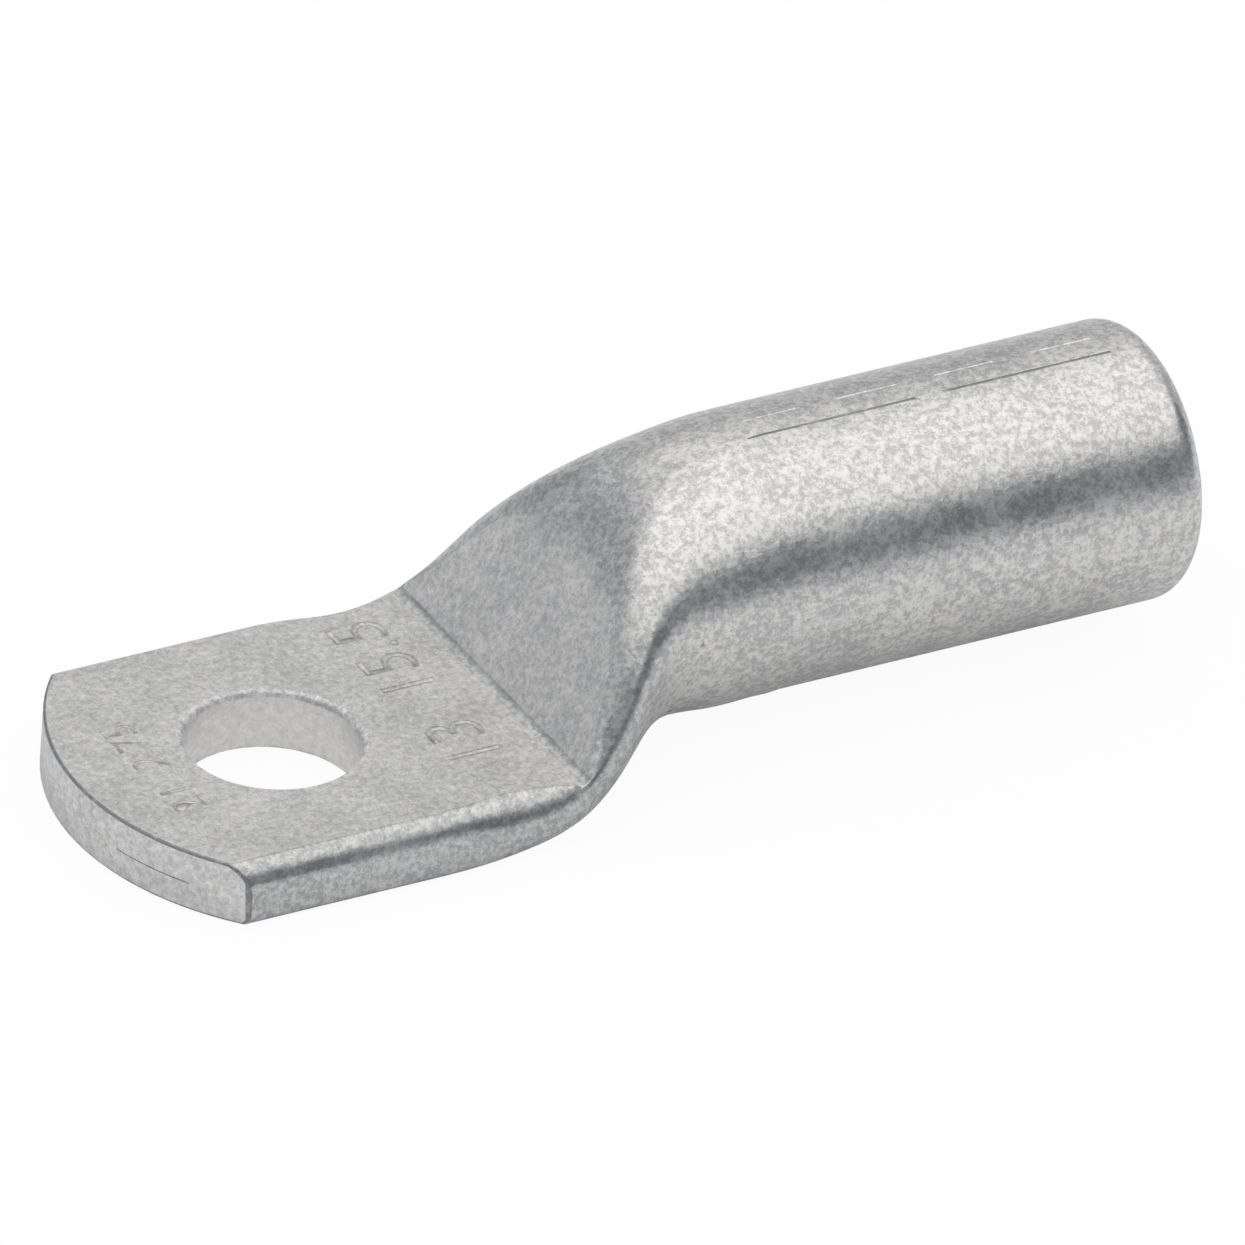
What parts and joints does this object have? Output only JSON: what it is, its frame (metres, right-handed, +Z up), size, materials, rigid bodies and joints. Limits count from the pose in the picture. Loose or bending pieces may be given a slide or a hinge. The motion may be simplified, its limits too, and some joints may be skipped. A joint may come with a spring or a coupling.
{
  "type": "compression cable lug",
  "caption": "Tubular compression lug: a thick round barrel for a heavy stranded cable, flattened and offset into a palm with one bolt hole.",
  "frame": {"origin": "on the axis of the bolt hole, in the contact face under the palm", "axes": "+Z up, square to the palm, along the bolt; +X from the bolt hole towards the barrel's open mouth"},
  "size_m": [0.0878, 0.0302, 0.022],
  "materials": {
    "tinned_copper": "matte"
  },
  "bodies": {
    "root": {"cable_lug": "tinned_copper"}
  },
  "joints": []
}
